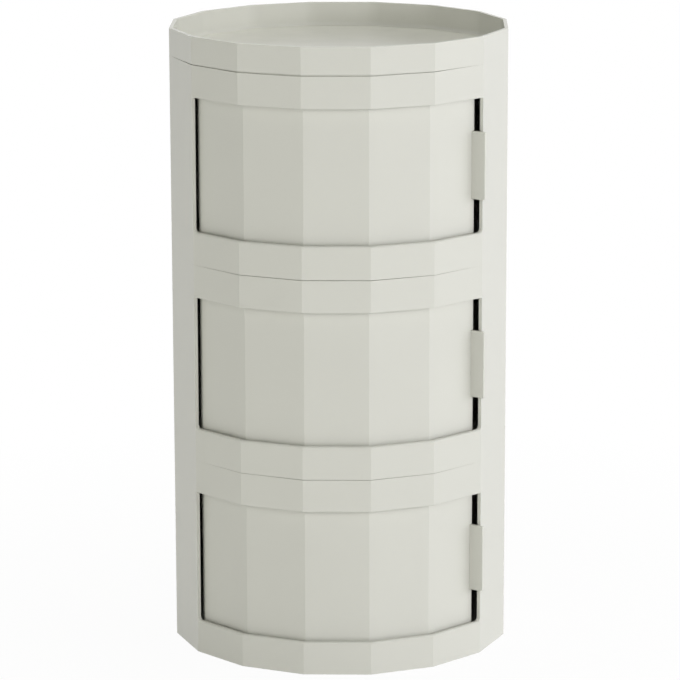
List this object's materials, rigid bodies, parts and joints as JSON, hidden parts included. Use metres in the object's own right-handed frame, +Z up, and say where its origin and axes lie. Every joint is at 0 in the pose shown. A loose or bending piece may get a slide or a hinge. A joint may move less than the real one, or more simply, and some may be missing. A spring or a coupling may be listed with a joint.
{
  "type": "round side cabinet",
  "caption": "Stacked faceted storage column: drums with doors that slide round inside their walls, each with a pull plate, under a lift-off tray top.",
  "frame": {"origin": "middle of the underside, on the axis that the doors turn about", "axes": "+Z up along the cabinet's axis; the door openings face -Y; +X is to the right of someone facing the doors"},
  "size_m": [0.3138, 0.3138, 0.585],
  "materials": {
    "shell": "satin moulded, warm pale grey",
    "tray": "satin moulded, warm pale grey",
    "door": "satin moulded, warm pale grey",
    "pull": "satin moulded, warm pale grey",
    "shelf": "matt moulded, warm pale grey",
    "ring": "matt moulded, warm pale grey",
    "slider": "smooth white low-friction plastic"
  },
  "bodies": {
    "carcass": {"lower_drum": "shell", "middle_drum": "shell", "upper_drum": "shell", "lower_shelf": "shelf", "middle_shelf": "shelf", "upper_shelf": "shelf", "lower_guide_ring": "ring", "middle_guide_ring": "ring", "upper_guide_ring": "ring"},
    "lower_door_set": {"lower_door": "door", "lower_pull": "pull", "lower_left_glide": "slider", "lower_right_glide": "slider", "lower_left_guide_shoe": "slider", "lower_right_guide_shoe": "slider"},
    "middle_door_set": {"middle_door": "door", "middle_pull": "pull", "middle_left_glide": "slider", "middle_right_glide": "slider", "middle_left_guide_shoe": "slider", "middle_right_guide_shoe": "slider"},
    "upper_door_set": {"upper_door": "door", "upper_pull": "pull", "upper_left_glide": "slider", "upper_right_glide": "slider", "upper_left_guide_shoe": "slider", "upper_right_guide_shoe": "slider"},
    "tray": {"top_tray": "tray"}
  },
  "joints": [
    {"name": "lower_door_turn", "type": "hinge", "parent": "carcass", "child": "lower_door_set", "pos_m": [0, 0, 0.0935], "axis": [0, 0, -1], "range_deg": [0, 110]},
    {"name": "middle_door_turn", "type": "hinge", "parent": "carcass", "child": "middle_door_set", "pos_m": [0, 0, 0.28], "axis": [0, 0, -1], "range_deg": [0, 110]},
    {"name": "upper_door_turn", "type": "hinge", "parent": "carcass", "child": "upper_door_set", "pos_m": [0, 0, 0.4665], "axis": [0, 0, -1], "range_deg": [0, 110]},
    {"name": "tray_lift", "type": "slide", "parent": "carcass", "child": "tray", "axis": [0, 0, 1], "range_m": [0, 0.06]}
  ]
}
